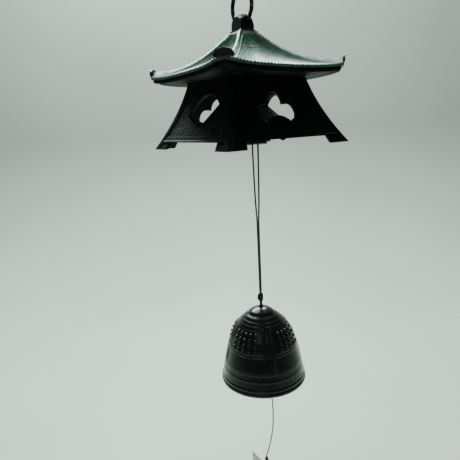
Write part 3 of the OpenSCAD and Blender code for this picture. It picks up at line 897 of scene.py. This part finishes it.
rim_r, rim_raised, fan_drop = 0.5, 0.1, 8.3
bm = bmesh.new()
for wall in walls:
    outline, shift = cloud_outline(), (-2, window_z)
    if wall == ("x", -1):
        outline, shift = fan_outline(), (-3, window_z - fan_drop)
    elif wall == ("x", 1):
        outline, shift = [(-x, z) for x, z in fan_outline()], (2, window_z - fan_drop)
    rim(bm, outline, shift, wall, rim_raised, rim_r)
bmesh.ops.recalc_face_normals(bm, faces=bm.faces)
finish(bm, "window_rims", "lantern", smooth_iron, "cast_iron_dark", (), 60)

# %% Ring ornament and latch nub
bm = bmesh.new()
bead = arc((0, 0), 1.7, 0, 345, 23)
for wall in walls[2:]:
    rim(bm, bead, (-21.2, rail_z + 6.1), wall, 0.2, 0.5)
for sign in (-1, 1):
    nub = bmesh.ops.create_uvsphere(bm, u_segments=16, v_segments=10, radius=1)["verts"]
    bmesh.ops.scale(bm, vec=(1.8 * mm, 0.9 * mm, 0.8 * mm), verts=nub)
    bmesh.ops.translate(bm, vec=(-4.2 * mm, sign * (wall_out(rail_z) - 0.6) * mm, (rail_z - 0.3) * mm),
                        verts=nub)
bmesh.ops.recalc_face_normals(bm, faces=bm.faces)
finish(bm, "ring_ornament", "lantern", smooth_iron, "cast_iron_dark", (), 60)

# %% [markdown]
# ## Bell
# The bell is turned on a lathe as a pattern and cast. Its outline, with the rings at the crown and
# the rim at the mouth, is spun about its axis. Raised bands then divide the wall into panels: they
# are made by pushing out the points that lie on them. The upper panels carry rows of small bosses.

# %% Bell wall
bell_low, bell_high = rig.box("bell")
bell_r = (bell_high.y - bell_low.y) / 2 / mm
bell_top, bell_height = bell_high.z / mm, (bell_high.z - bell_low.z) / mm
curve = [(0, 0.1), (0.012, 0.17), (0.056, 0.27), (0.13, 0.435), (0.225, 0.6), (0.337, 0.715),
         (0.487, 0.8), (0.675, 0.888), (0.862, 0.954), (0.956, 0.987), (1, 1)]
bell_wall, bore = 2.4, 1.75
band_turn = 244
# each ring's place down the bell, half its width as a share of the height, and how far it stands out
bell_rings = [(0.045, 0.022, 0.7), (0.098, 0.02, 0.6), (0.14, 0.016, 0.5), (0.175, 0.016, 0.6),
              (0.215, 0.008, 0.3), (0.475, 0.008, 0.35), (0.505, 0.008, 0.3), (0.70, 0.01, 0.2),
              (0.725, 0.01, 0.2), (0.81, 0.012, 0.22), (0.925, 0.016, 0.35), (0.975, 0.022, 0.45)]


def bell_out(down):
    """Radius of the bell this share of the way down, in millimetres."""
    for (a, ra), (b, rb) in zip(curve, curve[1:]):
        if down <= b:
            return bell_r * (ra + (rb - ra) * (down - a) / (b - a))
    return bell_r


def ridge(x, middle, wide, height):
    return height * max(0, 1 - ((x - middle) / wide) ** 2)


def bell_relief(down, turn):
    """How far the raised work stands out: level rings and lines, and the upright bands."""
    level = sum(ridge(down, *ring) for ring in bell_rings)
    apart = (turn - band_turn + 45) % 90 - 45
    reach = apart * math.radians(1) * bell_out(down)
    upright = 0.0
    if 0.2 < down < 0.73:
        upright = (ridge(abs(reach), 3.3, 0.55, 0.4) + ridge(abs(reach), 2.2, 0.45, 0.3)
                   + ridge(abs(reach), 0.0, 0.7, 0.35))
    return max(level, upright)


# %% Bell shape
bell_steps, outer_rows = 288, 110
bm = bmesh.new()
section = [(bore, bell_top - 3.0), (bore, bell_top)]
section += [(bell_out(k / outer_rows), bell_top - bell_height * k / outer_rows)
            for k in range(outer_rows + 1)]
inner = [(bell_out(d) - bell_wall, bell_top - bell_height * d)
         for d in (1, 0.9, 0.75, 0.6, 0.45, 0.3, 0.2, 0.12) if bell_out(d) - bell_wall > 2]
section += [p for p in inner if p[1] < bell_top - 3.2] + [(6.5, bell_top - 3.0)]
corners = [bm.verts.new(Vector((r, 0, z)) * mm) for r, z in section]
edges = [bm.edges.new(pair) for pair in zip(corners, corners[1:] + corners[:1])]
bmesh.ops.spin(bm, geom=edges, cent=(0, 0, 0), axis=(0, 0, 1), angle=math.tau, steps=bell_steps,
               use_merge=True)
bmesh.ops.remove_doubles(bm, verts=bm.verts, dist=1e-6)
for v in bm.verts:
    r = math.hypot(v.co.x, v.co.y) / mm
    down = (bell_top - v.co.z / mm) / bell_height
    if r > bore + 0.3 and abs(r - bell_out(min(max(down, 0), 1))) < 0.02:
        turn = math.degrees(math.atan2(v.co.y, v.co.x))
        grow = 1 + bell_relief(down, turn) / r * (1 if down < 0.99 else 0)
        v.co = Vector((v.co.x * grow, v.co.y * grow, v.co.z))
bmesh.ops.recalc_face_normals(bm, faces=bm.faces)
bmesh.ops.translate(bm, vec=(cord_x * mm, 0, 0), verts=bm.verts)
finish(bm, "temple_bell", "bell", lacquer, "black_lacquer", ("bell",), 50)

# %% Bosses
boss_r, boss_apart, boss_rows_apart, first_boss = 1.2, 11, 0.064, 0.25
bm = bmesh.new()
for field in range(4):
    for column in range(5):
        for row in range(4):
            turn = math.radians(band_turn + 45 + 90 * field + (column - 2) * boss_apart)
            down = first_boss + boss_rows_apart * row
            out = bell_out(down) * mm
            boss = bmesh.ops.create_uvsphere(bm, u_segments=10, v_segments=6, radius=boss_r * mm)["verts"]
            bmesh.ops.translate(bm, vec=(cord_x * mm + out * math.cos(turn), out * math.sin(turn),
                                         (bell_top - bell_height * down) * mm), verts=boss)
finish(bm, "bell_bosses", "bell", lacquer, "black_lacquer", (), 60)

# %% [markdown]
# ## Clapper
# The clapper is a flat iron disc with rounded edges. A cone with equal ends makes the disc, and its
# edges are bevelled.

# %% Clapper
low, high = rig.box("clapper")
bm = bmesh.new()
bmesh.ops.create_cone(bm, cap_ends=True, segments=72, radius1=(high.x - low.x) / 2,
                      radius2=(high.x - low.x) / 2, depth=high.z - low.z)
edges = [e for e in bm.edges if all(abs(v.co.z - e.verts[0].co.z) < 1e-7 for v in e.verts)]
bmesh.ops.bevel(bm, geom=edges, offset=0.9 * mm, affect="EDGES", segments=4, profile=0.5, material=-1)
bmesh.ops.translate(bm, vec=(low + high) / 2, verts=bm.verts)
finish(bm, "clapper_disc", "clapper", smooth_iron, "clapper_iron", ("clapper",))

# %% [markdown]
# ## Paper strip
# The strip catches the wind. Handmade paper never hangs quite flat, so a grid is bent into a slow
# curl, a little deeper towards its foot, and given its thickness. A round hole is left for the
# eyelet by pulling the grid's points back to its edge.

# %% Paper strip
low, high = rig.box("paper_strip")
eyelet_low, eyelet_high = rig.box("strip_eyelet")
eyelet = (eyelet_low + eyelet_high) / 2
bm = bmesh.new()
bmesh.ops.create_grid(bm, x_segments=38, y_segments=84, size=0.5)
for v in bm.verts:
    v.co = Vector((eyelet.x, v.co.x * (high.y - low.y), low.z + (v.co.y + 0.5) * (high.z - low.z)))
hole = [f for f in bm.faces if (f.calc_center_median() - eyelet).length < 1.8 * mm]
bmesh.ops.delete(bm, geom=hole, context="FACES")
for v in bm.verts:
    reach = v.co - eyelet
    if v.is_boundary and reach.length < 4 * mm:
        v.co = eyelet + reach.normalized() * 2.0 * mm
for v in bm.verts:
    down = (high.z - v.co.z) / (high.z - low.z)
    across = v.co.y / (high.y - low.y) * 2
    v.co.x += (1.6 * down ** 1.5 * (across ** 2 - 0.2) + 1.1 * math.sin(3.0 * down) * down
               + 0.5 * across * down) * mm
bmesh.ops.solidify(bm, geom=bm.faces[:], thickness=0.4 * mm)
bmesh.ops.recalc_face_normals(bm, faces=bm.faces)
finish(bm, "wind_strip", "strip", paper, "paper", ("paper_strip",))

# %% [markdown]
# ## Pieces that keep their shape
# The knob with its shank, the washer, the nut, the cross bar, the thread loop, the eyelet and the
# body's shell already have their true shapes in the frame. They only get their finish.

# %% Kept pieces
carry("roof_knob", knob_iron_and_cap_shade)
carry("roof_washer", dull_steel)
carry("roof_nut", dull_steel)
carry("cross_bar", wire_steel)
carry("lantern_body", body_iron)
carry("strip_loop", thin_cord)
carry("strip_eyelet", brass)

# %% [markdown]
# ## Stage and light
# The chime hangs over a grey board that curves up into a wall. The light is that of a bright window
# behind and above: it slides along the roof and makes its green lacquer gleam, and leaves the body
# and the bell in soft shade. A smaller light from nearly overhead catches the knob and the bell's
# crown, one washes the wall, and a very weak one stands in front on the left.

# %% Stage
floor_z = -445 * mm
bm = bmesh.new()
profile = [(-0.9, 0.0), (0.45, 0.0)]
profile += [(0.45 + 0.35 * math.sin(a), 0.35 - 0.35 * math.cos(a))
            for a in [math.pi / 2 * k / 12 for k in range(1, 13)]]
profile += [(0.8, 2.2)]
corners = [bm.verts.new((-1.8, y, floor_z + z)) for y, z in profile]
edges = [bm.edges.new(pair) for pair in zip(corners, corners[1:])]
moved = bmesh.ops.extrude_edge_only(bm, edges=edges)["geom"]
bmesh.ops.translate(bm, vec=(3.6, 0, 0), verts=[g for g in moved if isinstance(g, bmesh.types.BMVert)])
bmesh.ops.rotate(bm, cent=(0, 0, 0), matrix=Matrix.Rotation(-azimuth, 3, "Z"), verts=bm.verts)
mesh = bpy.data.meshes.new("table_and_wall")
bm.to_mesh(mesh)
bm.free()
mesh.shade_smooth()
wall_paint, tree, shader = new_material("matt_white_board", {"Roughness": 0.8})
place = add(tree, "TexCoord", {}).outputs["Object"]
board = add(tree, "TexNoise", {"Vector": place, "Scale": 3.0, "Detail": 2.0}).outputs["Fac"]
tone = add(tree, "Mix", {0: board, 6: colour("#a2a49e"), 7: colour("#b2b3ae")}, data_type="RGBA")
tree.links.new(tone.outputs[2], shader.inputs["Base Color"])
mesh.materials.append(wall_paint)
stage = bpy.data.objects.new("table_and_wall", mesh)
bpy.context.collection.objects.link(stage)
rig.stage(stage)

# %% Lights
def area_light(name, place, target, size, power, tint):
    light = bpy.data.lights.new(name, "AREA")
    light.shape = "RECTANGLE"
    light.size, light.size_y = size
    light.energy = power
    light.color = tint
    made = bpy.data.objects.new(name, light)
    bpy.context.collection.objects.link(made)
    made.location = place
    made.rotation_mode = "QUATERNION"
    made.rotation_quaternion = (Vector(target) - Vector(place)).to_track_quat("-Z", "Y")
    made.visible_camera = False


middle = (0, 0, -0.07)
area_light("window_behind", (0.36, 0.70, 0.50), middle, (0.95, 0.8), 75, (0.80, 1.0, 0.93))
area_light("ceiling_behind", (0.0, 0.28, 0.85), middle, (0.4, 0.35), 13, (0.80, 1.0, 0.93))
area_light("wall_wash", (0.0, 0.0, 1.0), (0.5, 0.8, -0.2), (0.8, 0.5), 6, (1.0, 1.0, 0.98))
area_light("room_front", (-0.7, -0.7, 0.3), (0, 0, -0.15), (0.5, 0.5), 0.5, (0.95, 1.0, 0.98))
world = bpy.data.worlds.new("room")
bpy.context.scene.world = world
world.use_nodes = True
world.node_tree.nodes["Background"].inputs["Color"].default_value = colour("#dfe6e4")
world.node_tree.nodes["Background"].inputs["Strength"].default_value = 0.16

# %% Sizes and finish
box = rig.bounds()
with open("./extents.json", "w") as f:
    json.dump({"cad": [list(c) for c in cad_box], "visual": [list(c) for c in box]}, f)
print("cad box   ", [tuple(round(c / mm, 1) for c in corner) for corner in cad_box])
print("visual box", [tuple(round(c / mm, 1) for c in corner) for corner in box])
